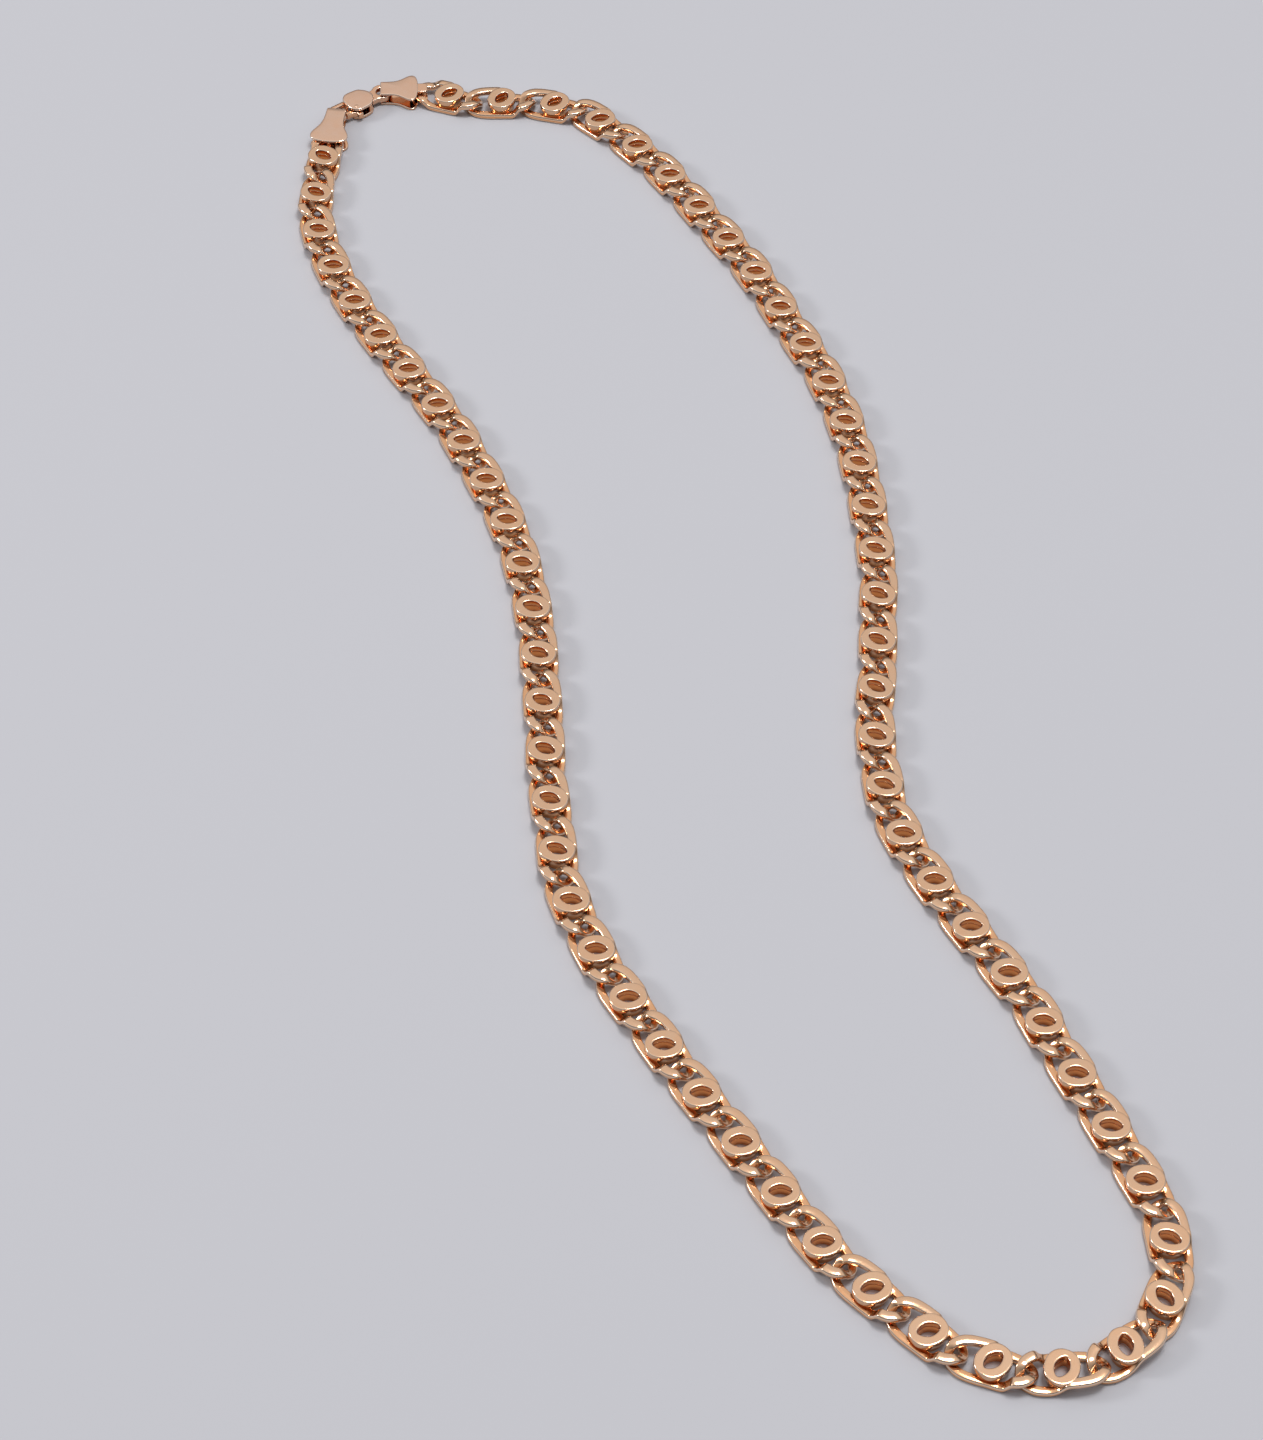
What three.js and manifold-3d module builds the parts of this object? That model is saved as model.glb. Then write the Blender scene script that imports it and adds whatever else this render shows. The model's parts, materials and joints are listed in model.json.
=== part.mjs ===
// A gentleman's dress chain of eye links, laid flat in a long loop and closed by a clasp between two end tabs.
// Millimetres, +Z up. The chain rests on z = 0, centred on the origin.

import * as THREE from "three";
import { mergeVertices } from "three/addons/utils/BufferGeometryUtils.js";
import Module from "manifold-3d";

const wasm = await Module();
wasm.setup();

// Driving sizes of the chain: the step from joint to joint, the link's width and thickness, and its wire
const pitch = 9.3;
const chainWidth = 5.9;
const chainThickness = 2.5;
const wireWidth = 1.25;
const wireHeight = 1.0;
const tipGap = 0.6;

// Driving sizes of the end tabs, each one sheet folded over at its neck
const tabReach = 7.2;
const tabWidth = 6.5;
const tabThickness = 2.44;
const sheet = 0.42;
const tongueWidth = 1.2;
const postDiameter = 0.9;
const postGap = 0.2;
const hookTabCover = 1.2;
const ringTabSetback = 0.9;
const lipReach = 1.65;
const lipWidth = 2.2;

// Driving sizes of the clasp
const claspReach = pitch;
const claspWidth = 5.0;
const claspThickness = 2.4;
const eyeRadius = 1.4;
const eyeWire = 0.9;
const eyeHeight = 1.0;
const slotGap = 0.15;
const rivetDiameter = 0.8;
const leverEyeDiameter = 1.9;
const leafThickness = 0.2;

// Solder that joins two neighbouring links into one piece
const solderLength = 0.8;
const solderWidth = 0.5;

// Sizes that follow from the driving ones
const wireRise = (chainThickness - wireHeight) / 2;
const barReach = (chainWidth - wireWidth) / 2;
const tipReach = (pitch + wireWidth + tipGap) / 2;
const endTipReach = (pitch + postDiameter + wireWidth) / 2 + postGap;
const eyeHole = eyeRadius - eyeWire / 2;
const eyeRim = eyeRadius + eyeWire / 2;
const slotHeight = eyeHeight + slotGap * 2;

// How the chain is laid: the heading of each link down its strand, in whole degrees from +X
const leftHeadings = [
  -97, -92, -76, -68, -62, -59, -57, -59, -65, -66, -71, -77, -81, -86, -85, -88,
  -82, -84, -70, -65, -58, -59, -56, -57, -57, -54, -43, -41, -18, 6, 37,
];
const rightHeadings = [
  -18, 1, -13, -43, -50, -57, -60, -59, -64, -67, -65, -72, -77, -82, -85, -86,
  -94, -92, -97, -88, -83, -68, -62, -59, -59, -67, -65, -66, -66, -84, -114,
];
const claspHeading = 217;
const lastFacingBack = 29;

// Neighbours soldered into one piece, by the number of the first of the two
const solderedPairs = [7, 10, 23, 34, 39, 48, 53, 60];

const chain = new THREE.Group();
const laid = new THREE.Group();
chain.add(laid);

const roseGold = { color: 0xd9a07c, roughness: 0.2, metalness: 1 };
const paleGold = { color: 0xd8b096, roughness: 0.28, metalness: 1 };
const springSteel = { color: 0xb9b4ae, roughness: 0.35, metalness: 1 };

function addMesh(name, geometry, finish, parent) {
  const mesh = new THREE.Mesh(geometry, new THREE.MeshStandardMaterial(finish));
  mesh.name = name;
  parent.add(mesh);
  return mesh;
}

// A frame on the table: its origin at a point, its x axis along a heading in degrees
function frameAt(point, heading) {
  const frame = new THREE.Group();
  frame.position.set(point.x, point.y, 0);
  frame.rotation.z = THREE.MathUtils.degToRad(heading);
  laid.add(frame);
  return frame;
}

function stepFrom(point, heading, length) {
  const angle = THREE.MathUtils.degToRad(heading);
  return new THREE.Vector2(Math.cos(angle), Math.sin(angle)).multiplyScalar(length).add(point);
}

function solidOf(geometry) {
  const bare = new THREE.BufferGeometry();
  bare.setAttribute("position", geometry.attributes.position);
  bare.setIndex(geometry.index);
  const merged = mergeVertices(bare);
  const vertProperties = merged.attributes.position.array;
  const triVerts = new Uint32Array(merged.index.array);
  return new wasm.Manifold(new wasm.Mesh({ numProp: 3, vertProperties, triVerts }));
}

function geometryOf(solid) {
  const mesh = solid.getMesh();
  const geometry = new THREE.BufferGeometry();
  geometry.setAttribute("position", new THREE.BufferAttribute(mesh.vertProperties, 3));
  geometry.setIndex(new THREE.BufferAttribute(mesh.triVerts, 1));
  return geometry;
}

// A plate cut to an outline in plan, of a given thickness about its middle height
function plate(outline, thickness, middle) {
  const settings = { depth: thickness, bevelEnabled: false, curveSegments: 8 };
  const geometry = new THREE.ExtrudeGeometry(outline, settings);
  return solidOf(geometry.translate(0, 0, middle - thickness / 2));
}

function block(left, right, near, far, height) {
  const geometry = new THREE.BoxGeometry(right - left, far - near, height);
  return solidOf(geometry.translate((left + right) / 2, (near + far) / 2, 0));
}

function post(diameter, height, x, y) {
  const geometry = new THREE.CylinderGeometry(diameter / 2, diameter / 2, height, 16);
  return solidOf(geometry.rotateX(Math.PI / 2).translate(x, y, 0));
}

// A round-ended outline from one centre to another along x
function stadium(from, to, radius) {
  const outline = new THREE.Shape();
  outline.absarc(to, 0, radius, -Math.PI / 2, Math.PI / 2);
  outline.absarc(from, 0, radius, Math.PI / 2, Math.PI * 1.5);
  return outline;
}

// An outline that is the same on both sides of the x axis, from the points of its upper side
function mirrored(points) {
  const lower = points.map(([x, y]) => [x, -y]).reverse();
  return new THREE.Shape([...lower, ...points].reverse().map(([x, y]) => new THREE.Vector2(x, y)));
}

// The wire of one link, as shares of its reach along, across and up, and of the wire's width.
// From the upper tip it comes down the left side and rises, sweeps round the eye on the upper face,
// dives beneath itself, rises again to the lower tip and goes back up the right side.
const linkShares = [
  [1, 0, 0, 1],
  [0.965, 0.34, -0.7, 1],
  [0.865, 0.6, -1, 1],
  [0.66, 0.87, -1, 1],
  [0.42, 0.98, 0, 1.04],
  [0.22, 0.93, 1, 1.1],
  [0.02, 0.85, 1, 1.2],
  [-0.17, 0.72, 1, 1.2],
  [-0.29, 0.36, 1, 1.12],
  [-0.335, -0.1, 1, 1.04],
  [-0.3, -0.54, 1, 0.94],
  [-0.17, -0.8, 1, 0.84],
  [0, -0.84, 1, 0.82],
  [0.13, -0.6, 1, 0.86],
  [0.19, -0.2, 1, 0.9],
  [0.2, 0.1, 1, 0.9],
  [0.14, 0.6, -1, 0.92],
  [0.04, 0.87, -1, 1],
  [-0.12, 1, -1, 1],
  [-0.34, 1, -1, 1],
  [-0.6, 0.9, 1, 1.08],
  [-0.76, 0.76, 1, 1.08],
  [-0.885, 0.54, 1, 1.04],
  [-0.968, 0.3, 0.7, 1],
  [-1, 0, 0, 1],
  [-0.965, -0.34, -0.7, 1],
  [-0.865, -0.6, -1, 1],
  [-0.66, -0.87, -1, 1],
  [-0.4, -1, -1, 1],
  [0.14, -1, -1, 1],
  [0.6, -0.9, 1, 1.08],
  [0.76, -0.76, 1, 1.08],
  [0.885, -0.54, 1, 1.04],
  [0.968, -0.3, 0.7, 1],
];

// The upper loop of an end link is pressed flat, and drawn out to go round the post of its tab
const flatShare = 0.55;

function linkPath(pressed) {
  const shoulder = flatShare * tipReach;
  const draw = (endTipReach - shoulder) / (tipReach - shoulder);
  return linkShares.map(([along, across, up, width]) => {
    const point = new THREE.Vector3(along * tipReach, across * barReach, up * wireRise);
    if (pressed && point.x > shoulder) {
      point.x = shoulder + (point.x - shoulder) * draw;
      point.z = 0;
    }
    return { point, half: (width * wireWidth) / 2 };
  });
}

// A flattened wire carried round a closed path, with its faces kept level and its half width at each point
function wireRing(path) {
  const count = path.length;
  const corners = [];
  path.forEach(({ point, half }, i) => {
    const before = path[(i + count - 1) % count].point;
    const after = path[(i + 1) % count].point;
    const arriving = new THREE.Vector2(point.x - before.x, point.y - before.y).normalize();
    const leaving = new THREE.Vector2(after.x - point.x, after.y - point.y).normalize();
    const along = arriving.clone().add(leaving).normalize();
    const reach = half / along.dot(leaving);
    for (const [across, up] of [[-1, -1], [1, -1], [1, 1], [-1, 1]]) {
      corners.push(point.x - along.y * reach * across);
      corners.push(point.y + along.x * reach * across);
      corners.push(point.z + (wireHeight / 2) * up);
    }
  });
  const faces = [];
  for (let i = 0; i < count; i += 1) {
    const here = i * 4;
    const next = ((i + 1) % count) * 4;
    for (let k = 0; k < 4; k += 1) {
      const other = (k + 1) % 4;
      faces.push(here + k, here + other, next + k);
      faces.push(here + other, next + other, next + k);
    }
  }
  const geometry = new THREE.BufferGeometry();
  geometry.setAttribute("position", new THREE.Float32BufferAttribute(corners, 3));
  geometry.setIndex(faces);
  return geometry;
}

// Two links and the solder between their tips: the second link stands as it will be laid beside the first
function solderedLinks(first, second) {
  const beside = new THREE.Matrix4().copy(first.matrix).invert().multiply(second.matrix);
  const link = wireRing(linkPath(false));
  const solder = new THREE.BoxGeometry(solderLength, solderWidth, solderWidth);
  const side = Math.sign(new THREE.Vector3().setFromMatrixPosition(beside).x);
  const joint = solder.translate((side * pitch) / 2, 0, 0);
  return geometryOf(solidOf(link).add(solidOf(link.clone().applyMatrix4(beside))).add(solidOf(joint)));
}

// An end tab: two bell-shaped plates joined by a tongue at the neck and a post at the wide end.
// Its origin is the middle of the tongue, and the wide end points along +x.
const bellShares = [
  [0.3, 0.54],
  [0.46, 0.62],
  [0.6, 0.78],
  [0.72, 0.94],
  [0.82, 1],
  [0.91, 0.94],
  [0.97, 0.74],
  [1, 0.4],
];
const bellSteps = 21;
const neckShare = 0.52;

function tabGeometry(edge, lip) {
  const half = tabWidth / 2;
  const bell = bellShares.map(([along, across]) => new THREE.Vector2(along * edge, across * half));
  const side = new THREE.SplineCurve(bell).getPoints(bellSteps).map((point) => point.toArray());
  const lipCorners = lip ? [[edge, lipWidth / 2], [edge + lip, lipWidth / 2]] : [];
  const outline = mirrored([[-sheet / 2, neckShare * half], ...side, ...lipCorners]);
  const middle = (tabThickness - sheet) / 2;
  const tongue = block(-sheet / 2, sheet / 2, -tongueWidth / 2, tongueWidth / 2, tabThickness - sheet);
  return geometryOf(
    plate(outline, sheet, middle)
      .add(plate(outline, sheet, -middle))
      .add(tongue)
      .add(post(postDiameter, tabThickness - sheet, tabReach, 0)),
  );
}

// The clasp: a pointed body with a ring at its origin and a hook round its far joint.
// The lever lies in a slot in the body and closes the gap in the hook.
const bodyShares = [
  [0.225, 0.36],
  [0.36, 0.92],
  [0.635, 1],
  [0.775, 0.56],
];
const rivetShare = 0.656;
const rivetAcrossShare = 0.56;
const holeShare = 0.86;
const gapShare = 0.914;
const pocketShare = 0.43;
const pocketFloorShare = 0.16;
const rivetAt = rivetShare * claspReach;
const rivetAcross = (rivetAcrossShare * claspWidth) / 2;
const gapEnd = gapShare * claspReach;
const leverTip = gapEnd - slotGap;

function claspBodyGeometry() {
  const half = claspWidth / 2;
  const outline = mirrored(bodyShares.map(([along, across]) => [along * claspReach, across * half]));
  const ringEnd = bodyShares[1][0] * claspReach;
  const ring = plate(stadium(0, ringEnd, eyeRim), eyeHeight, 0);
  const hook = plate(stadium(rivetAt, claspReach, eyeRim), eyeHeight, 0);
  const pocket = block(pocketShare * claspReach, gapEnd, -pocketFloorShare * half, claspWidth, slotHeight);
  const rivetHole = post(rivetDiameter + slotGap * 2, claspThickness * 2, rivetAt, rivetAcross);
  return geometryOf(
    plate(outline, claspThickness, 0)
      .add(ring)
      .add(hook)
      .subtract(plate(stadium(holeShare * claspReach, claspReach, eyeHole), claspThickness * 2, 0))
      .subtract(post(eyeHole * 2, claspThickness * 2, 0, 0))
      .subtract(pocket)
      .subtract(rivetHole),
  );
}

const thumbShare = 1.15;

function leverGeometry() {
  const thumbHalf = eyeWire / 2;
  const thumbEnd = (thumbShare * claspWidth) / 2;
  const arm = block(rivetAt, leverTip, eyeHole, eyeRim, eyeHeight);
  const thumb = block(rivetAt - thumbHalf, rivetAt + thumbHalf, rivetAcross, thumbEnd, eyeHeight);
  return geometryOf(
    post(leverEyeDiameter, eyeHeight, rivetAt, rivetAcross)
      .add(arm)
      .add(thumb)
      .subtract(post(rivetDiameter + slotGap * 2, claspThickness, rivetAt, rivetAcross)),
  );
}

// The leaf spring lies along the floor of the slot and lifts towards the lever's arm
const leafShares = [
  [0.465, 0],
  [0.59, 0.01],
  [0.67, 0.04],
  [0.75, 0.12],
];
const leafHeightShare = 0.7;

function leafGeometry() {
  const upper = leafShares.map(([along, across]) => [along * claspReach, (across * claspWidth) / 2]);
  const lower = upper.map(([x, y]) => [x, y - leafThickness]).reverse();
  const outline = new THREE.Shape([...lower, ...upper].reverse().map(([x, y]) => new THREE.Vector2(x, y)));
  return geometryOf(plate(outline, leafHeightShare * slotHeight, 0));
}

// The links are laid joint to joint, down the left strand and back up the right one
const travels = [...leftHeadings, ...rightHeadings.map((heading) => heading + 180).reverse()];
const frames = [];
let joint = new THREE.Vector2(0, 0);
travels.forEach((travel, i) => {
  const centre = stepFrom(joint, travel, pitch / 2);
  joint = stepFrom(joint, travel, pitch);
  const frame = frameAt(centre, i < lastFacingBack ? travel + 180 : travel);
  frame.updateMatrix();
  frames.push(frame);
});

const two = (number) => String(number).padStart(2, "0");
const plainLink = wireRing(linkPath(false));
const endLink = wireRing(linkPath(true));
frames.forEach((frame, i) => {
  const number = i + 1;
  if (solderedPairs.includes(number)) {
    const pair = solderedLinks(frame, frames[i + 1]);
    addMesh(`links_${two(number)}_${two(number + 1)}`, pair, roseGold, frame);
  } else if (!solderedPairs.includes(i)) {
    const atEnd = number === 1 || number === frames.length;
    addMesh(`link_${two(number)}`, atEnd ? endLink : plainLink, roseGold, frame);
  }
});

// The clasp and the two tabs close the loop: the tabs share the turn that is left between them
const claspVector = stepFrom(new THREE.Vector2(0, 0), claspHeading, claspReach);
const span = joint.clone().add(claspVector).negate();
const spanHeading = THREE.MathUtils.radToDeg(span.angle());
const tabTurn = THREE.MathUtils.radToDeg(Math.acos(span.length() / 2 / tabReach));
const ringJoint = stepFrom(joint, spanHeading - tabTurn, tabReach);
const hookJoint = ringJoint.clone().add(claspVector);

const hookTab = frameAt(hookJoint, spanHeading + tabTurn);
addMesh("hook_tab", tabGeometry(tabReach + hookTabCover, 0), paleGold, hookTab);
const ringTab = frameAt(ringJoint, spanHeading - tabTurn + 180);
addMesh("ring_tab", tabGeometry(tabReach - ringTabSetback, lipReach), paleGold, ringTab);

const clasp = frameAt(ringJoint, claspHeading);
addMesh("clasp_body", claspBodyGeometry(), paleGold, clasp);
addMesh("clasp_lever", leverGeometry(), roseGold, clasp);
addMesh("lever_spring", leafGeometry(), springSteel, clasp);
const rivetShape = new THREE.CylinderGeometry(rivetDiameter / 2, rivetDiameter / 2, claspThickness, 16);
const rivet = addMesh("lever_rivet", rivetShape, roseGold, clasp);
rivet.position.set(rivetAt, rivetAcross, 0);
rivet.rotation.x = Math.PI / 2;

const extent = new THREE.Box3().setFromObject(laid, true);
const middle = extent.getCenter(new THREE.Vector3());
laid.position.set(-middle.x, -middle.y, chainThickness / 2);

export default chain;
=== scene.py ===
import json
import math

import bpy
import numpy as np
from mathutils import Matrix, Vector

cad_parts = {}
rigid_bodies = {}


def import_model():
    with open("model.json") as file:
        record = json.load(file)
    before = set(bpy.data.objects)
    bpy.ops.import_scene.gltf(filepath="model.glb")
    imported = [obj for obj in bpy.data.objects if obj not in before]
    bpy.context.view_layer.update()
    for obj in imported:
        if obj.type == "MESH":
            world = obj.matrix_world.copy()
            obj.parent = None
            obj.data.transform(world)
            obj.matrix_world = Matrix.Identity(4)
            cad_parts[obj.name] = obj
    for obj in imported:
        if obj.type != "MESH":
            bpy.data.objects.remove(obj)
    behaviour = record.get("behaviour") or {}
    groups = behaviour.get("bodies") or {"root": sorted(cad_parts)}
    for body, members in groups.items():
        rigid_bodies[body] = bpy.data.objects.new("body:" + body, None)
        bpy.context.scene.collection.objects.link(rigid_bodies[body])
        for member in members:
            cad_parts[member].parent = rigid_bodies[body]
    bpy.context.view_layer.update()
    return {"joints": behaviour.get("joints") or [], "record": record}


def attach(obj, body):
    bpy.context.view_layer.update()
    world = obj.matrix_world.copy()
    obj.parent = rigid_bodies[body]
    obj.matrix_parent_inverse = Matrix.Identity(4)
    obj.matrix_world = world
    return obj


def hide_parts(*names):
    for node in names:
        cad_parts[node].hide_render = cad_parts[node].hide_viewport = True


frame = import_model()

# Each link is one flattened brass wire: a tip loop at each end, side bars, and in the middle a flat oval eye of
# two turns, one on the other. It is wound on a former, pressed flat and soldered at the seam. Then the chain
# is plated with rose gold and polished in a barrel. Its colour carries painted light: a paler painted highlight
# on the rounded edges, and painted shade, darker and more orange, on the lower and inner parts.

# The plate's colour; the colour that the slow mottle and the painted shade move it towards; and the painted
# highlight of the rounded edges
link_colour = (0.735, 0.475, 0.305, 1)
link_mottle_and_painted_shade_colour = (0.84, 0.36, 0.12, 1)
link_painted_highlight_colour = (0.9, 0.7, 0.54, 1)

# The plate's slow mottle, and the hairline scratches of the polishing, which are long one way and slanted
mottle_size = 0.0018
mottle_low = 0.35
mottle_high = 0.7
mottle_warmth = 0.16
mottle_detail = 3
hairline_width = 0.00004
hairline_stretch = 0.06
hairline_slant = 0.5
hairline_roughness = 0.1
hairline_height = 0.12
hairline_detail = 2
plate_bump = 0.00002


def plate_group():
    """Colour is the plate's, moved by the painted shade share and a slow noise towards the colour of the mottle
    and painted shade, and by the edge share towards the painted highlight. Roughness is the least one and a
    share of the hairlines. Height is the slow noise and a share of the hairlines."""
    group = bpy.data.node_groups.new("polished plate", "ShaderNodeTree")
    face = group.interface
    for name, kind in (("Plate", "Color"), ("Mottle_And_Painted_Shade", "Color"), ("Painted_Highlight", "Color"), ("Painted_Shade", "Float"),
                       ("Edge", "Float"), ("Place", "Vector"), ("Least Roughness", "Float")):
        face.new_socket(name=name, in_out="INPUT", socket_type="NodeSocket" + kind)
    for name, kind in (("Colour", "Color"), ("Roughness", "Float"), ("Height", "Float")):
        face.new_socket(name=name, in_out="OUTPUT", socket_type="NodeSocket" + kind)
    nodes, links = group.nodes, group.links
    given = nodes.new("NodeGroupInput")
    out = nodes.new("NodeGroupOutput")

    mottle = nodes.new("ShaderNodeTexNoise")
    mottle.inputs["Scale"].default_value = 1 / mottle_size
    mottle.inputs["Detail"].default_value = mottle_detail
    links.new(given.outputs["Place"], mottle.inputs["Vector"])
    spread = nodes.new("ShaderNodeMapRange")
    spread.inputs["From Min"].default_value = mottle_low
    spread.inputs["From Max"].default_value = mottle_high
    spread.inputs["To Max"].default_value = mottle_warmth
    links.new(mottle.outputs["Fac"], spread.inputs["Value"])
    # Painted shade: the share of the darker, more orange colour, with the slow mottle's share added
    mottle_and_painted_shade = nodes.new("ShaderNodeMath")
    mottle_and_painted_shade.operation = "ADD"
    mottle_and_painted_shade.use_clamp = True
    links.new(spread.outputs["Result"], mottle_and_painted_shade.inputs[0])
    links.new(given.outputs["Painted_Shade"], mottle_and_painted_shade.inputs[1])
    warm = nodes.new("ShaderNodeMix")
    warm.data_type = "RGBA"
    links.new(mottle_and_painted_shade.outputs[0], warm.inputs["Factor"])
    links.new(given.outputs["Plate"], warm.inputs["A"])
    links.new(given.outputs["Mottle_And_Painted_Shade"], warm.inputs["B"])
    # Painted highlight: the edge share moves the colour towards the paler one
    painted_highlight = nodes.new("ShaderNodeMix")
    painted_highlight.data_type = "RGBA"
    links.new(given.outputs["Edge"], painted_highlight.inputs["Factor"])
    links.new(warm.outputs["Result"], painted_highlight.inputs["A"])
    links.new(given.outputs["Painted_Highlight"], painted_highlight.inputs["B"])
    links.new(painted_highlight.outputs["Result"], out.inputs["Colour"])

    stretch = nodes.new("ShaderNodeMapping")
    stretch.inputs["Scale"].default_value = (1, hairline_stretch, 1)
    stretch.inputs["Rotation"].default_value = (0, 0, hairline_slant)
    links.new(given.outputs["Place"], stretch.inputs["Vector"])
    hairline = nodes.new("ShaderNodeTexNoise")
    hairline.inputs["Scale"].default_value = 1 / hairline_width
    hairline.inputs["Detail"].default_value = hairline_detail
    links.new(stretch.outputs["Vector"], hairline.inputs["Vector"])
    rough = nodes.new("ShaderNodeMath")
    rough.operation = "MULTIPLY_ADD"
    rough.inputs[1].default_value = hairline_roughness
    links.new(hairline.outputs["Fac"], rough.inputs[0])
    links.new(given.outputs["Least Roughness"], rough.inputs[2])
    links.new(rough.outputs[0], out.inputs["Roughness"])
    height = nodes.new("ShaderNodeMath")
    height.operation = "MULTIPLY_ADD"
    height.inputs[1].default_value = hairline_height
    links.new(hairline.outputs["Fac"], height.inputs[0])
    links.new(mottle.outputs["Fac"], height.inputs[2])
    links.new(height.outputs[0], out.inputs["Height"])
    return group


polished_plate = plate_group()


def plated_metal(name, plate, mottle_and_painted_shade, painted_highlight, roughness, wave):
    """A metal whose colour, roughness and height come from the polished plate group."""
    material = bpy.data.materials.new(name)
    material.use_nodes = True
    nodes, links = material.node_tree.nodes, material.node_tree.links
    metal = nodes["Principled BSDF"]
    metal.inputs["Metallic"].default_value = 1
    finish = nodes.new("ShaderNodeGroup")
    finish.node_tree = polished_plate
    finish.inputs["Plate"].default_value = plate
    finish.inputs["Mottle_And_Painted_Shade"].default_value = mottle_and_painted_shade
    finish.inputs["Painted_Highlight"].default_value = painted_highlight
    finish.inputs["Least Roughness"].default_value = roughness
    place = nodes.new("ShaderNodeTexCoord")
    links.new(place.outputs["Object"], finish.inputs["Place"])
    # The shares of painted shade and of painted highlight come from the mesh's attributes
    for painted_light_share in ("Painted_Shade", "Edge"):
        share = nodes.new("ShaderNodeAttribute")
        share.attribute_name = painted_light_share.lower()
        links.new(share.outputs["Fac"], finish.inputs[painted_light_share])
    bump = nodes.new("ShaderNodeBump")
    bump.inputs["Strength"].default_value = wave
    bump.inputs["Distance"].default_value = plate_bump
    links.new(finish.outputs["Height"], bump.inputs["Height"])
    links.new(finish.outputs["Colour"], metal.inputs["Base Color"])
    links.new(finish.outputs["Roughness"], metal.inputs["Roughness"])
    links.new(bump.outputs["Normal"], metal.inputs["Normal"])
    return material


link_gold = plated_metal("link gold", link_colour, link_mottle_and_painted_shade_colour, link_painted_highlight_colour,
                         roughness=0.1, wave=0.35)

# The step from one link to the next, the link and its wire
pitch = 0.0093
link_width = 0.0059
chain_thickness = 0.0025
wire_width = 0.00125
wire_height = 0.001
tip_gap = 0.0006
wire_rise = (chain_thickness - wire_height) / 2
bar_reach = (link_width - wire_width) / 2
tip_reach = (pitch + wire_width + tip_gap) / 2

# The heading of each step in degrees, down the left strand and then down the right one
left_headings = [
    -97, -92, -76, -68, -62, -59, -57, -59, -65, -66, -71, -77, -81, -86, -85, -88,
    -82, -84, -70, -65, -58, -59, -56, -57, -57, -54, -43, -41, -18, 6, 37,
]
right_headings = [
    -18, 1, -13, -43, -50, -57, -60, -59, -64, -67, -65, -72, -77, -82, -85, -86,
    -94, -92, -97, -88, -83, -68, -62, -59, -59, -67, -65, -66, -66, -84, -114,
]
last_facing_back = 29

# The first link of each pair of neighbours that is one piece
soldered_pairs = [7, 10, 23, 34, 39, 48, 53, 60]

# The wire's middle line as shares of its reach along, across and up, and the wire's width as a share. Each
# side bar is low from one tip to a place beside the eye, and high from there to the other tip.
wire_shares = np.array([
    [1, 0, 0, 1],
    [0.965, 0.34, -0.7, 1],
    [0.865, 0.6, -1, 1],
    [0.66, 0.87, -1, 1],
    [0.4, 0.98, -1, 1],
    [0.06, 1, -1, 1],
    [-0.34, 1, -1, 1],
    [-0.6, 0.9, 1, 1.16],
    [-0.76, 0.76, 1, 1.18],
    [-0.885, 0.54, 1, 1.1],
    [-0.968, 0.3, 0.7, 1],
    [-1, 0, 0, 1],
    [-0.965, -0.34, -0.7, 1],
    [-0.865, -0.6, -1, 1],
    [-0.66, -0.87, -1, 1],
    [-0.42, -0.98, -1, 1],
    [-0.2, -1, -0.5, 1],
    [0.06, -1, 1, 1],
    [0.36, -0.98, 1, 1.08],
    [0.6, -0.9, 1, 1.16],
    [0.76, -0.76, 1, 1.18],
    [0.885, -0.54, 1, 1.1],
    [0.968, -0.3, 0.7, 1],
])

# The eye's turns, one on the other: their centre, their slant from the link's length, and the reach of the
# outside and hole along and across the slant, each with the oval's power
eye_centre = np.array([-0.0002, 0])
eye_slant = math.radians(66)
eye_outside = (0.00264, 0.00232, 2.2)
lower_outside = (0.00235, 0.0019, 2)
hole_slant = math.radians(58)
eye_hole = (0.00155, 0.00096, 1.65)
eye_rim = 0.00016
eye_proud = 0.00002
lower_turn_share = 0.9

# The upper loop of an end link is pressed flat, and drawn out to go round the post of its tab
flat_share = 0.55
post_diameter = 0.0009
post_gap = 0.0002
end_tip_reach = (pitch + post_diameter + wire_width) / 2 + post_gap


def smooth_loop(points, steps):
    """A closed Catmull-Rom curve: between two points the place is the cubic whose slopes there are half the
    step between the neighbours on each side."""
    share = (np.arange(steps) / steps)[None, :, None]
    before, here = np.roll(points, 1, 0)[:, None], points[:, None]
    after, beyond = np.roll(points, -1, 0)[:, None], np.roll(points, -2, 0)[:, None]
    curve = 0.5 * (2 * here + (after - before) * share
                   + (2 * before - 5 * here + 4 * after - beyond) * share ** 2
                   + (3 * here - before - 3 * after + beyond) * share ** 3)
    return curve.reshape(-1, points.shape[1])


def flattened_section(corner_width, corner_height, crown):
    """A flattened wire's outline in shares of its half width and half height: each corner is a quarter of an
    ellipse, and the middle of the upper and lower side stands proud by the crown. The third column is the
    share of painted highlight, greatest half way round a corner."""
    turn = np.linspace(0, np.pi / 2, 5)
    rows = []
    for quarter in range(4):
        angle = turn + quarter * np.pi / 2
        right, top = np.sign(np.cos(angle.mean())), np.sign(np.sin(angle.mean()))
        rows.append(np.stack([right * (1 - corner_width) + corner_width * np.cos(angle),
                              top * (1 - crown - corner_height) + corner_height * np.sin(angle),
                              np.abs(np.sin(2 * angle))], 1))
        rows.append(np.array([[np.cos(angle[-1]), np.sin(angle[-1]), 0]]).round(6))
    return np.concatenate(rows)


wire_section = flattened_section(corner_width=0.33, corner_height=0.8, crown=0.05)


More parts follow.
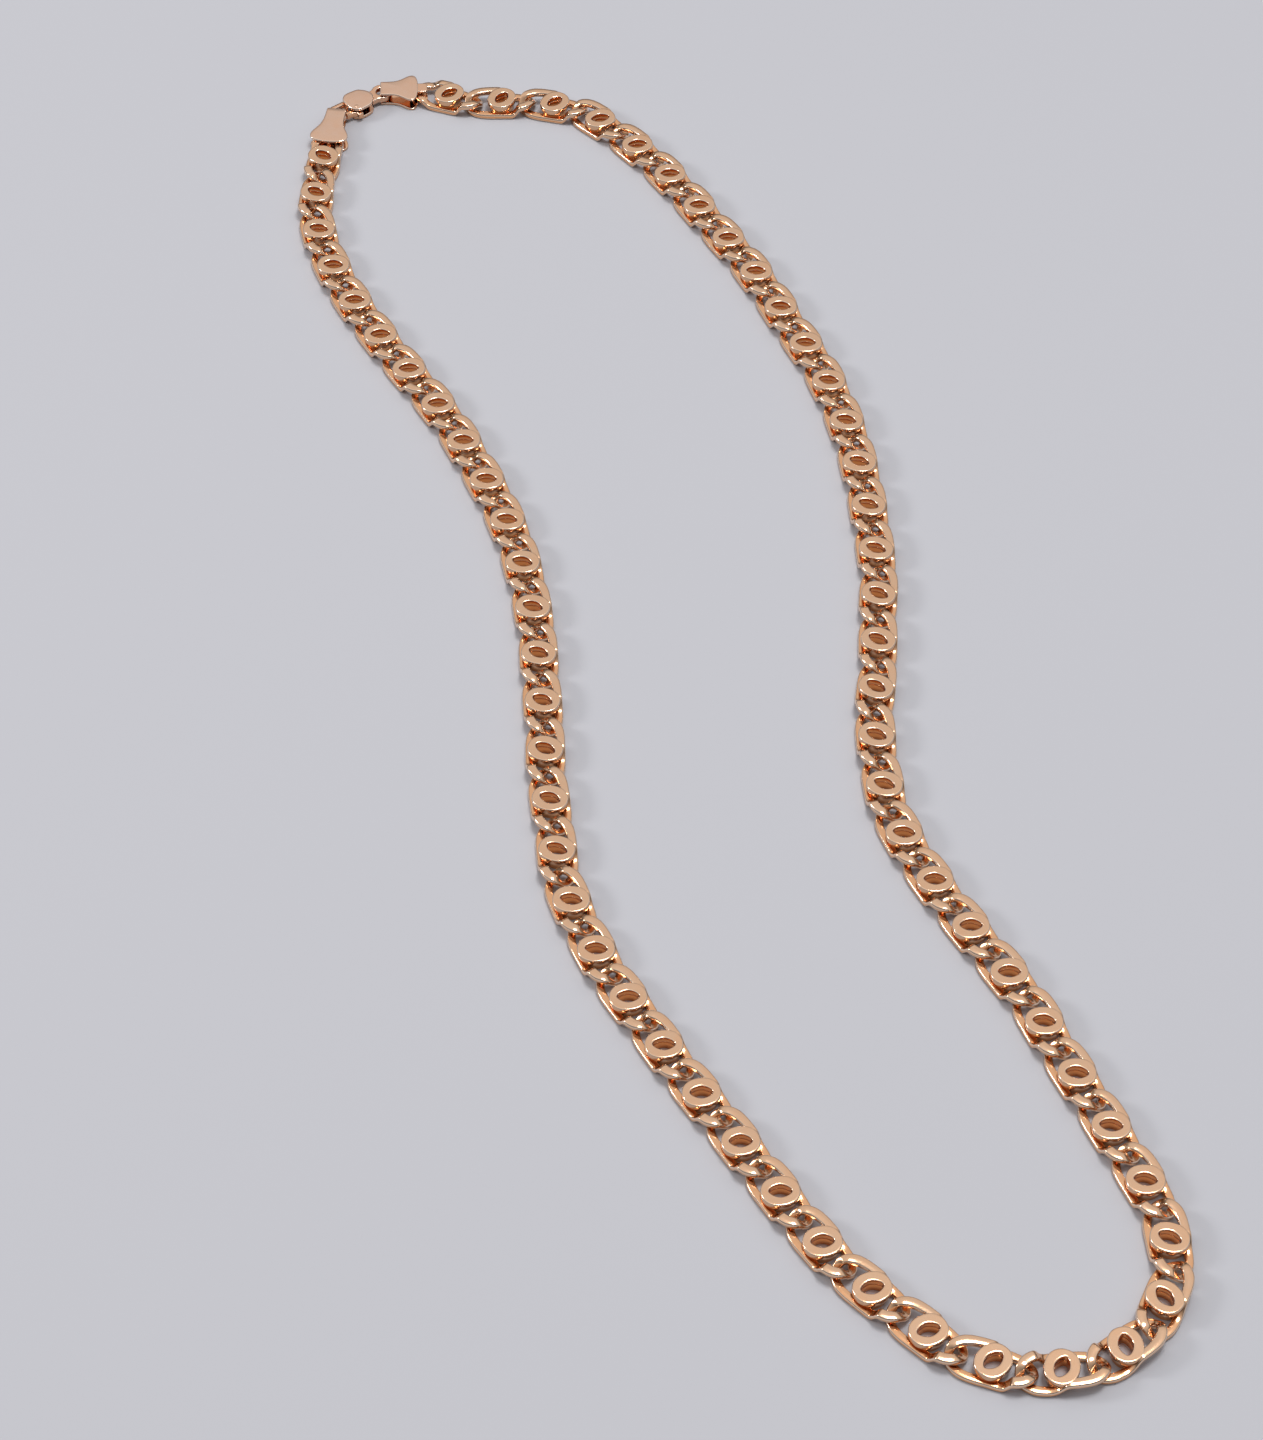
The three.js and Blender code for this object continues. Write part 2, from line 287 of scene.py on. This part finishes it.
def wire_grid(path, ahead, widths, heights):
    """Each ring of the grid is the wire's section set upwards and across the level part of the path's way
    ahead, times half the width and half the height there."""
    level = ahead[:, :2] / np.linalg.norm(ahead[:, :2], axis=1, keepdims=True)
    side = np.stack([level[:, 1], -level[:, 0], np.zeros(len(path))], 1)
    across = wire_section[None, :, 0] * widths[:, None] / 2
    up = wire_section[None, :, 1] * heights[:, None] / 2
    return path[:, None] + across[:, :, None] * side[:, None] + up[:, :, None] * np.array([0, 0, 1.0])


def grid_faces(rows, around, closed):
    """Four-cornered faces between the rows of a grid that closes on itself round each row, and from its last
    row to its first where it is closed; else a many-sided face shuts each end."""
    here, there = np.meshgrid(np.arange(rows if closed else rows - 1), np.arange(around), indexing="ij")
    ahead, next_there = (here + 1) % rows, (there + 1) % around
    corners = [here * around + there, ahead * around + there, ahead * around + next_there,
               here * around + next_there]
    faces = [np.stack(corners, -1).reshape(-1, 4)]
    if not closed:
        faces.append(np.arange(around)[None])
        faces.append((rows * around - 1 - np.arange(around))[None])
    return faces


def joined(shells):
    """Several shells as one: the places, faces and shares one after another, the faces counted on."""
    places, faces, counted = [], [], 0
    for points, its_faces, _, _ in shells:
        places.append(points)
        faces.extend(part + counted for part in its_faces)
        counted += len(points)
    return (np.concatenate(places), faces, np.concatenate([shell[2] for shell in shells]),
            np.concatenate([shell[3] for shell in shells]))


# The rows of a plate's profile round each rim, and the shares of the way across its faces, with and without
# a hole. The wall of a hole is its lower rim and the last row of its upper one.
rim_rows = 4
wall_rows = rim_rows + 1
holed_shares = np.linspace(1, 0, 8)[1:-1]
whole_shares = np.array([0.85, 0.65, 0.45, 0.25, 0.08])


def rounded_plate(outline, hole, low, high, rim, crown, painted_shade):
    """A plate with rounded rims. The hole is its centre and its radius, or its radius at each point of the
    outline. Along the profile the place goes inwards from the outline, or outwards from the hole, by
    rim * (1 - cos turn), and up by rim * sin turn. Between outline and hole, or the outline's centre, it goes
    in a straight line, and the upper face stands proud by crown * (1 - share squared)."""
    ahead = np.roll(outline, -1, 0) - np.roll(outline, 1, 0)
    inward = np.stack([-ahead[:, 1], ahead[:, 0]], 1) / np.linalg.norm(ahead, axis=1, keepdims=True)
    turn = np.concatenate([np.linspace(-np.pi / 2, 0, rim_rows), np.linspace(0, np.pi / 2, rim_rows)])
    base = np.where(np.arange(len(turn)) < len(turn) // 2, low + rim, high - rim)
    inset, level = rim * (1 - np.cos(turn)), base + rim * np.sin(turn)
    outer = outline[None] + inset[:, None, None] * inward[None]
    centre, radius = hole
    holed = np.any(radius)
    away = outline - centre
    away = away / np.linalg.norm(away, axis=1, keepdims=True)
    share = holed_shares if holed else whole_shares
    gap = radius + inset[:, None] * holed + np.zeros(len(outline))
    inner = centre + away[None] * gap[:, :, None]
    over = inner[-1] + (outer[-1] - inner[-1]) * share[:, None, None]
    under = inner[0] + (outer[0] - inner[0]) * share[::-1, None, None]
    plan = [outer, over]
    rise = [level, high + crown * (1 - share ** 2)]
    # The edge share of painted highlight is greatest half way round each rim; the plate's painted shade share
    # is the same all over it.
    painted_light_share = [np.abs(np.sin(2 * turn)), 0 * share]
    if holed:
        plan.append(inner[::-1])
        rise.append(np.where(level > (low + high) / 2, level + crown, level)[::-1])
        painted_light_share.append(painted_light_share[0])
    plan = np.concatenate([under] + plan)
    rise = np.concatenate([np.full(len(share), low)] + rise)
    painted_light_share = np.concatenate([0 * share] + painted_light_share)
    around = len(outline)
    places = np.concatenate([plan, np.broadcast_to(rise[:, None, None], (len(rise), around, 1))], 2)
    faces = grid_faces(len(rise), around, bool(holed))
    return (places.reshape(-1, 3), [part[:, ::-1] for part in faces],
            np.full(len(rise) * around, painted_shade), np.repeat(painted_light_share, around))


def oval(angle, long_reach, short_reach, power):
    """How far an oval reaches at an angle from its long axis: the sum of the shares along both axes, each to
    the power, is one. Below a power of two its ends are pointed."""
    return ((np.abs(np.cos(angle)) / long_reach) ** power
            + (np.abs(np.sin(angle)) / short_reach) ** power) ** (-1 / power)


def eye_turn(outside, low, high):
    """One turn of the eye: a slanting oval with a pointed oval hole, both about the eye's centre. The last
    rows of its profile are the hole's wall, which gets the full painted shade."""
    turn = np.linspace(0, 2 * np.pi, 48, endpoint=False)
    away = np.stack([np.cos(turn), np.sin(turn)], 1)
    outline = eye_centre + away * oval(turn - eye_slant, *outside)[:, None]
    shell = rounded_plate(outline, (eye_centre, oval(turn - hole_slant, *eye_hole)), low, high, eye_rim, 0, 0)
    shell[2][-wall_rows * len(turn):] = 1
    return shell


def link_shell(pressed):
    """One link about its own centre. The wire's height eases in and out by the mean of its share and the sine
    of a quarter turn times it. The painted shade share grows with the square of the depth below the upper face."""
    reach = np.array([tip_reach, bar_reach, wire_rise])
    stations = np.concatenate([wire_shares[:, :3] * reach, wire_shares[:, 3:] * wire_width], 1)
    if pressed:
        shoulder = flat_share * tip_reach
        beyond = stations[:, 0] > shoulder
        draw = (end_tip_reach - shoulder) / (tip_reach - shoulder)
        stations[beyond, 0] = shoulder + (stations[beyond, 0] - shoulder) * draw
        stations[beyond, 2] = 0
    curve = smooth_loop(stations, steps=5)
    rise = np.clip(curve[:, 2] / wire_rise, -1, 1)
    curve[:, 2] = wire_rise * (rise + np.sin(np.pi / 2 * rise)) / 2
    path, widths = curve[:, :3], curve[:, 3]
    ahead = np.roll(path, -1, 0) - np.roll(path, 1, 0)
    grid = wire_grid(path, ahead, widths, np.full(len(path), wire_height))
    edge = np.broadcast_to(wire_section[:, 2], grid.shape[:2])
    wire = (grid.reshape(-1, 3), grid_faces(*grid.shape[:2], True), np.zeros(edge.size), edge.ravel())
    top = chain_thickness / 2
    upper_turn = eye_turn(eye_outside, top - wire_height, top + eye_proud)
    lower_turn = eye_turn(lower_outside, -top, top - wire_height * lower_turn_share)
    points, faces, painted_shade, edge = joined([wire, upper_turn, lower_turn])
    # Painted shade: the lower parts of the wire and eye are coloured darker and more orange
    depth = np.clip(0.5 - points[:, 2] / chain_thickness, 0, 1)
    return points, faces, np.maximum(painted_shade, depth ** 2), edge


# The chain is laid from the first joint, one step after another. The first links face back along the way.
joint_places = {(row["child"], row["parent"]): Vector(row["pos_m"]) for row in frame["joints"]}
travels = left_headings + [heading + 180 for heading in reversed(right_headings)]
headings = [travel + 180 if i < last_facing_back else travel for i, travel in enumerate(travels)]
steps = pitch * np.stack([np.cos(np.radians(travels)), np.sin(np.radians(travels))], 1)
first_joint = joint_places["link_01", "link_02"]
start = np.array(first_joint[:2]) - steps[0]
ends = start + np.cumsum(steps, 0)
centres = ends - steps / 2
mid_height = first_joint[2]


def set_down(shell, place, heading):
    """The shell turned to a heading in degrees and moved to a place on the table, at the chain's mid height."""
    turn = math.radians(heading)
    across = np.array([[math.cos(turn), math.sin(turn)], [-math.sin(turn), math.cos(turn)]])
    moved = shell[0].copy()
    moved[:, :2] = shell[0][:, :2] @ across + place
    moved[:, 2] += mid_height
    return (moved, *shell[1:])


body_of_node = {node: body for body, members in frame["record"]["behaviour"]["bodies"].items()
                for node in members}


def put_mesh(name, shell):
    """A smooth mesh from the places and faces of a shell, with its shares of painted shade and of painted
    highlight on the edges kept as attributes for the material."""
    points, faces, painted_shade, edge = shell
    corners = np.concatenate([part.ravel() for part in faces])
    sizes = np.concatenate([np.full(len(part), part.shape[1]) for part in faces])
    mesh = bpy.data.meshes.new(name)
    mesh.vertices.add(len(points))
    mesh.vertices.foreach_set("co", points.astype(np.float32).ravel())
    mesh.loops.add(len(corners))
    mesh.loops.foreach_set("vertex_index", corners.astype(np.int32))
    mesh.polygons.add(len(sizes))
    mesh.polygons.foreach_set("loop_start", (np.cumsum(sizes) - sizes).astype(np.int32))
    mesh.update(calc_edges=True)
    mesh.polygons.foreach_set("use_smooth", np.ones(len(sizes), dtype=bool))
    for share_name, share in (("painted_shade", painted_shade), ("edge", edge)):
        kept = mesh.attributes.new(share_name, "FLOAT", "POINT")
        kept.data.foreach_set("value", share.astype(np.float32))
    piece = bpy.data.objects.new(name, mesh)
    bpy.context.scene.collection.objects.link(piece)
    return piece


def finish_piece(piece, node, material):
    """The piece gets its metal, rides its node's body and stands in for the node."""
    piece.data.materials.append(material)
    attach(piece, body_of_node[node])
    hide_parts(node)


plain_link = link_shell(pressed=False)
end_link = link_shell(pressed=True)

# A bead of solder holds two tips where a pair of neighbours is one piece
bead_length = 0.0008
bead_width = 0.0005
bead_rim = bead_width * 0.35
# The bead's share of painted shade
bead_painted_shade = 0.6
bead_turn = np.radians(np.arange(0, 360, 18))
bead_outline = np.stack([bead_length * np.cos(bead_turn), bead_width * np.sin(bead_turn)], 1) / 2
bead = rounded_plate(bead_outline, (np.zeros(2), 0), -bead_width / 2, bead_width / 2,
                     bead_rim, 0, bead_painted_shade)

for number in range(1, len(travels) + 1):
    if number - 1 in soldered_pairs:
        continue
    node = f"link_{number:02d}"
    shell = set_down(end_link if number in (1, len(travels)) else plain_link,
                     centres[number - 1], headings[number - 1])
    if number in soldered_pairs:
        node = f"links_{number:02d}_{number + 1:02d}"
        shell = joined([shell, set_down(plain_link, centres[number], headings[number]),
                        set_down(bead, ends[number - 1], travels[number - 1])])
    finish_piece(put_mesh("wire_" + node, shell), node, link_gold)

# An end tab is one bell-shaped brass sheet folded over at its narrow end. The fold is the loop that the clasp
# holds, and a post through the wide end holds the last link. The faces are polished flat and plated.

tab_reach = 0.0072
tab_width = 0.0065
tab_thickness = 0.00244
sheet = 0.00042
tongue_width = 0.0012
hook_tab_cover = 0.0012
ring_tab_setback = 0.0009
lip_reach = 0.00165
lip_width = 0.0022
lip_corner = 0.0005
lip_drop = 0.00006
tab_rim = 0.00016
tab_crown = 0.00005
bell_middle = 0.6
fold_widths = (0.48, 0.2)
tongue_corner = sheet / 3
inner_rim = sheet / 8
lip_rim = sheet / 4
# Shares of painted shade, darker and more orange, on the lower sheet, the tongue, the post and the lip
under_painted_shade = 0.4
tongue_painted_shade = 0.3
post_painted_shade = 0.6
lip_painted_shade = 0.2
# The tab's plate colour, the colour of its mottle and painted shade, and its painted highlight on the edges
tab_colour = (0.76, 0.51, 0.37, 1)
tab_mottle_and_painted_shade_colour = (0.8, 0.36, 0.13, 1)
tab_painted_highlight_colour = (0.92, 0.75, 0.62, 1)

tab_gold = plated_metal("tab gold", tab_colour, tab_mottle_and_painted_shade_colour, tab_painted_highlight_colour, roughness=0.07, wave=0.2)

# The bell's side from the wide end to the neck, as shares of its length and half width
bell_shares = np.array([
    [1.01, 0.14],
    [1, 0.42],
    [0.97, 0.74],
    [0.91, 0.94],
    [0.82, 1],
    [0.72, 0.94],
    [0.6, 0.78],
    [0.46, 0.62],
    [0.3, 0.54],
    [0.16, 0.525],
    [0.04, 0.52],
])


def both_sides(side):
    """An outline that is the same on both sides, counter-clockwise, from the points of its upper side."""
    return np.concatenate([side, (side * (1, -1))[::-1]])


def round_outline(width, length, corner):
    """A rectangle about the origin with each corner a quarter circle."""
    angle = np.radians(np.arange(0, 360, 15) + 7.5)
    unit = np.stack([np.cos(angle), np.sin(angle)], 1)
    return np.sign(unit) * (np.array([length, width]) / 2 - corner) + corner * unit


def tab_shell(edge, lip):
    """Two bells one above the other as long as the edge, the fold's tongue at the origin and the post at the
    reach. A lip stands out at the middle of the edge."""
    fold = np.array([[-sheet, fold_widths[0] * tab_width], [-sheet, fold_widths[1] * tab_width]]) / 2
    outline = smooth_loop(both_sides(np.concatenate([bell_shares * (edge, tab_width / 2), fold])), steps=3)
    outer = tab_thickness / 2
    middle = np.array([bell_middle * edge, 0])
    post_place = np.array([tab_reach, 0])
    turn = np.radians(np.arange(0, 360, 15))
    post = post_place + post_diameter / 2 * np.stack([np.cos(turn), np.sin(turn)], 1)
    inner = outer - sheet / 2
    tongue = round_outline(tongue_width, sheet, tongue_corner)
    shells = [
        rounded_plate(outline, (middle, 0), outer - sheet, outer - tab_crown / 2, tab_rim, tab_crown, 0),
        rounded_plate(outline, (middle, 0), -outer, sheet - outer, tab_rim, 0, under_painted_shade),
        rounded_plate(tongue, (np.zeros(2), 0), -inner, inner, inner_rim, 0, tongue_painted_shade),
        rounded_plate(post, (post_place, 0), -inner, inner, inner_rim, 0, post_painted_shade),
    ]
    if lip:
        ledge = np.array([edge, 0])
        lip_outline = round_outline(lip_width, lip * 2, lip_corner) + ledge
        for low in (outer - sheet, lip_drop - outer):
            shells.append(rounded_plate(lip_outline, (ledge, 0), low, low + sheet - lip_drop,
                                        lip_rim, 0, lip_painted_shade))
    return joined(shells)


# The clasp's ring holds one tab, and its hook holds the other, one step away
ring_joint = np.array(joint_places["clasp", "ring_tab"][:2])
last_joint = np.array(joint_places["ring_tab", "link_62"][:2])
clasp_heading = 217
hook_joint = ring_joint + pitch * np.array([math.cos(math.radians(clasp_heading)),
                                            math.sin(math.radians(clasp_heading))])


def heading_to(place, target):
    """The angle in degrees of the straight line from a place to a target."""
    return math.degrees(math.atan2(target[1] - place[1], target[0] - place[0]))


hook_tab = set_down(tab_shell(tab_reach + hook_tab_cover, lip=0), hook_joint, heading_to(hook_joint, start))
finish_piece(put_mesh("folded_hook_tab", hook_tab), "hook_tab", tab_gold)
ring_tab = set_down(tab_shell(tab_reach - ring_tab_setback, lip_reach), ring_joint,
                    heading_to(ring_joint, last_joint))
finish_piece(put_mesh("folded_ring_tab", ring_tab), "ring_tab", tab_gold)

# The clasp is brass, cast in one: a leaf-shaped body that is slotted for the lever, a ring that the last tab
# holds, and a hook. It is tumbled, polished and plated like the chain.

clasp_width = 0.005
clasp_thickness = 0.0024
ring_radius = 0.0014
ring_wire = 0.0009
ring_height = 0.001
slot_height = 0.0013
spine_overlap = 1.02
rivet_place = np.array([0.656 * pitch, 0.0014])
rivet_diameter = 0.0008
clasp_rim = 0.0002
spine_rim = clasp_rim / 4
clasp_crown = 0.00004
# Shares of painted shade on the lower cover, the spine, and the ring with the hook
cover_painted_shade = 0.4
spine_painted_shade = 0.5
ring_painted_shade = 0.25
# The clasp's plate colour and the colour of its mottle and painted shade; its painted highlight is the tab's
clasp_colour = (0.76, 0.5, 0.36, 1)
clasp_mottle_and_painted_shade_colour = (0.78, 0.34, 0.12, 1)

clasp_gold = plated_metal("clasp gold", clasp_colour, clasp_mottle_and_painted_shade_colour, tab_painted_highlight_colour,
                          roughness=0.08, wave=0.25)

# As shares of the clasp's step and half width: the leaf's side from the hook's end to the ring's, and the
# spine that holds the two covers apart, once round it. The faces of each close on its middle.
leaf_middle = np.array([0.5 * pitch, 0])
leaf_side = np.array([
    [0.775, 0.3],
    [0.755, 0.62],
    [0.7, 0.86],
    [0.635, 0.98],
    [0.5, 0.98],
    [0.38, 0.9],
    [0.31, 0.68],
    [0.255, 0.42],
    [0.225, 0.14],
])
spine_middle = np.array([0.4 * pitch, -0.3 * clasp_width / 2])
spine_points = np.array([
    [0.425, 0.85],
    [0.38, 0.86],
    [0.31, 0.62],
    [0.25, 0.34],
    [0.25, -0.34],
    [0.31, -0.62],
    [0.38, -0.86],
    [0.63, -0.92],
    [0.7, -0.8],
    [0.74, -0.56],
    [0.75, -0.2],
    [0.7, -0.17],
    [0.56, -0.17],
    [0.44, -0.17],
    [0.425, -0.14],
    [0.425, 0.3],
])

# The ring's open arc, its neck from the lower side round its end to the upper side, and the hook's straight
# arm, bend and nose
ring_arc = np.radians(np.arange(48, 313, 12))
neck_shares = np.array([
    [0.226, 0.52],
    [0.34, 0.5],
    [0.366, 0.24],
    [0.366, -0.24],
    [0.34, -0.5],
    [0.226, -0.52],
])
arm_shares = np.linspace(0.62, 0.96, 6)
hook_bend = np.radians(np.arange(-90, 91, 15))
nose_shares = np.array([
    [0.975, 1],
    [0.95, 1],
    [0.93, 1],
    [0.92, 1],
    [0.914, 1],
])
nose_thinning = [0.97, 0.88, 0.7]


def clasp_shell():
    """Two leaf-shaped covers, the spine between them, the ring with its neck, and the hook: the wire's section
    carried along the arm, a half circle and the nose, thinner at the nose and shut at both ends."""
    reach = np.array([pitch, clasp_width / 2])
    leaf = smooth_loop(both_sides(leaf_side * reach), steps=4)
    spine = smooth_loop(spine_points * reach, steps=2)
    half, slot = clasp_thickness / 2, slot_height / 2
    spine_top = slot * spine_overlap
    rim = (ring_radius + ring_wire / 2) * np.stack([np.cos(ring_arc), np.sin(ring_arc)], 1)
    ring = smooth_loop(np.concatenate([rim, neck_shares[::-1] * reach]), steps=2)
    bow = ring_radius * np.stack([np.cos(hook_bend), np.sin(hook_bend)], 1) + (pitch, 0)
    arm = arm_shares[:, None] * (pitch, 0) - (0, ring_radius)
    nose = nose_shares * (pitch, ring_radius)
    path = np.concatenate([arm, bow, nose])
    path = np.concatenate([path, np.zeros((len(path), 1))], 1)
    thin = np.concatenate([np.ones(len(path) - len(nose_thinning)), nose_thinning])
    grid = wire_grid(path, np.gradient(path, axis=0), ring_wire * thin, ring_height * thin)
    edge = np.broadcast_to(wire_section[:, 2], grid.shape[:2])
    hook = (grid.reshape(-1, 3), grid_faces(*grid.shape[:2], False), np.full(edge.size, ring_painted_shade),
            edge.ravel())
    return joined([
        rounded_plate(leaf, (leaf_middle, 0), slot, half - clasp_crown / 2, clasp_rim, clasp_crown, 0),
        rounded_plate(leaf, (leaf_middle, 0), -half, -slot, clasp_rim, 0, cover_painted_shade),
        rounded_plate(spine, (spine_middle, 0), -spine_top, spine_top, spine_rim, 0, spine_painted_shade),
        rounded_plate(ring, (np.zeros(2), ring_radius - ring_wire / 2), -ring_height / 2, ring_height / 2,
                      clasp_rim, 0, ring_painted_shade),
        hook,
    ])


clasp_frame = (ring_joint, clasp_heading)
clasp = set_down(clasp_shell(), *clasp_frame)
finish_piece(put_mesh("cast_clasp", clasp), "clasp_body", clasp_gold)

# The lever is stamped from brass strip and plated. It turns on its rivet inside the slot and shuts the hook,
# and its thumb piece stands out of the slot.

lever_hole_radius = 0.00055
lever_rim = clasp_rim * 0.7
# The lever's share of painted shade
lever_painted_shade = 0.3
lever_colour = (0.77, 0.49, 0.33, 1)

# The lever's outline about its rivet, in millimetres: the bar, the thumb piece and the end round the rivet
lever_points = np.array([
    [2.24, -0.38],
    [2.24, 0.38],
    [2.1, 0.44],
    [1.2, 0.45],
    [0.8, 0.62],
    [0.5, 0.82],
    [0.45, 1.3],
    [0.3, 1.46],
    [-0.3, 1.46],
    [-0.45, 1.3],
    [-0.5, 0.84],
    [-0.8, 0.5],
    [-0.95, 0],
    [-0.82, -0.47],
    [-0.47, -0.82],
    [0, -0.95],
    [0.47, -0.82],
    [0.8, -0.5],
    [1.2, -0.45],
    [2.1, -0.44],
]) / 1000

lever_gold = plated_metal("lever gold", lever_colour, link_mottle_and_painted_shade_colour, link_painted_highlight_colour,
                          roughness=0.1, wave=0.3)
lever_outline = smooth_loop(lever_points, steps=3) + rivet_place
lever = rounded_plate(lever_outline, (rivet_place, lever_hole_radius), -ring_height / 2, ring_height / 2,
                      lever_rim, 0, lever_painted_shade)
finish_piece(put_mesh("sprung_lever", set_down(lever, *clasp_frame)), "clasp_lever", lever_gold)

# The rivet is a pin of plated brass wire, set through both covers and the lever. Its heads are filed flush
# with the covers and left with a low dome.

rivet_dome = 0.00003
rivet_turn = np.radians(np.arange(0, 360, 12))
rivet_outline = rivet_place + rivet_diameter / 2 * np.stack([np.cos(rivet_turn), np.sin(rivet_turn)], 1)
rivet = rounded_plate(rivet_outline, (rivet_place, 0), -clasp_thickness / 2, clasp_thickness / 2,
                      rivet_dome, rivet_dome, 0)
finish_piece(put_mesh("flush_rivet", set_down(rivet, *clasp_frame)), "lever_rivet", lever_gold)

# The leaf spring is bright strip steel, bent and set in the clasp's slot under the lever. Nothing of it shows
# outside, so its solid keeps its own mesh and gets this steel.

# The steel's colour, the colour of its mottle and painted shade, and its painted highlight
spring_colour = (0.62, 0.60, 0.58, 1)
spring_mottle_and_painted_shade_colour = (0.42, 0.39, 0.38, 1)
spring_painted_highlight_colour = (0.75, 0.74, 0.72, 1)
spring_steel = plated_metal("spring steel", spring_colour, spring_mottle_and_painted_shade_colour, spring_painted_highlight_colour,
                            roughness=0.25, wave=0.5)
for slot_place in bpy.data.objects["lever_spring"].material_slots:
    slot_place.material = spring_steel

# The floor is a plain pale sheet of paper, wide enough to reach the horizon in a low view.

floor_size = 40
floor_colour = (0.475, 0.475, 0.505, 1)
floor_roughness = 0.9
bpy.ops.mesh.primitive_plane_add(size=floor_size)
floor = bpy.context.object
floor.name = "floor"
paper = bpy.data.materials.new("pale floor")
paper.use_nodes = True
paper_shader = paper.node_tree.nodes["Principled BSDF"]
paper_shader.inputs["Base Color"].default_value = floor_colour
paper_shader.inputs["Roughness"].default_value = floor_roughness
floor.data.materials.append(paper)

# The room is a soft light tent, pale at the horizon and overhead, with a dark band between them that the
# polished sides of the wires show. Each band is a height and its tone, and the camera's side is dimmer.

room_low = (0.5, 0.5, 0.52, 1)
room_top = (0.9, 0.9, 0.92, 1)
room_bands = ((0.06, 0.45), (0.14, 0.12), (0.3, 0.12), (0.48, 0.5), (0.62, 0.8), (0.8, 0.84))
room_blue = 1.02
front_strength = 0.5
front_from = -0.75
front_to = 0.1


def studio_world():
    """The light's colour follows the direction's height through a ramp. Its strength grows with the
    direction's Y by a smooth step, from the front share to one."""
    world = bpy.data.worlds.new("studio")
    bpy.context.scene.world = world
    world.use_nodes = True
    nodes, links = world.node_tree.nodes, world.node_tree.links
    look = nodes.new("ShaderNodeTexCoord")
    parts = nodes.new("ShaderNodeSeparateXYZ")
    links.new(look.outputs["Generated"], parts.inputs["Vector"])
    sky = nodes.new("ShaderNodeValToRGB")
    bands = sky.color_ramp.elements
    bands[0].position, bands[0].color = 0, room_low
    bands[1].position, bands[1].color = 1, room_top
    for height, tone in room_bands:
        bands.new(height).color = (tone, tone, tone * room_blue, 1)
    links.new(parts.outputs["Z"], sky.inputs["Fac"])
    near = nodes.new("ShaderNodeMapRange")
    near.interpolation_type = "SMOOTHSTEP"
    near.inputs["From Min"].default_value = front_from
    near.inputs["From Max"].default_value = front_to
    near.inputs["To Min"].default_value = front_strength
    links.new(parts.outputs["Y"], near.inputs["Value"])
    light = nodes["Background"]
    links.new(sky.outputs["Color"], light.inputs["Color"])
    links.new(near.outputs["Result"], light.inputs["Strength"])


studio_world()

# Two soft round lamps hang over the chain, one above it and one to its left, and shine on its middle.


def soft_lamp(name, place, size, power):
    """A disk of light at a place, turned so that it shines at the origin."""
    lamp = bpy.data.lights.new(name, "AREA")
    lamp.shape = "DISK"
    lamp.size = size
    lamp.energy = power
    holder = bpy.data.objects.new(name, lamp)
    bpy.context.scene.collection.objects.link(holder)
    holder.matrix_world = (Matrix.Translation(place)
                           @ (-Vector(place)).to_track_quat("-Z", "Y").to_matrix().to_4x4())


soft_lamp("ceiling_lamp", place=(0.2, 0.1, 1.2), size=0.4, power=7)
soft_lamp("side_lamp", place=(-1.0, 0.1, 0.6), size=0.3, power=4)

# The camera stands in front of the lower end of the loop and looks down at the chain at 50 degrees. Its lens is
# given as in the photograph, in pixels of a picture that is 1440 pixels high.

aim = Vector((-0.00861, -0.01708, mid_height))
elevation = math.radians(50)
distance = 0.5086
lens_pixels = 3459
picture_height = 1440
camera_data = bpy.data.cameras.new("camera")
camera_data.sensor_fit = "AUTO"
camera_data.sensor_width = 36
camera_data.lens = lens_pixels / picture_height * camera_data.sensor_width
camera_data.clip_start = 0.01
camera = bpy.data.objects.new("camera", camera_data)
bpy.context.scene.collection.objects.link(camera)
stand = aim + distance * Vector((0, -math.cos(elevation), math.sin(elevation)))
camera.matrix_world = (Matrix.Translation(stand)
                       @ (aim - stand).to_track_quat("-Z", "Y").to_matrix().to_4x4())
bpy.context.scene.camera = camera
bpy.context.scene.view_settings.view_transform = "Standard"

bpy.context.view_layer.update()
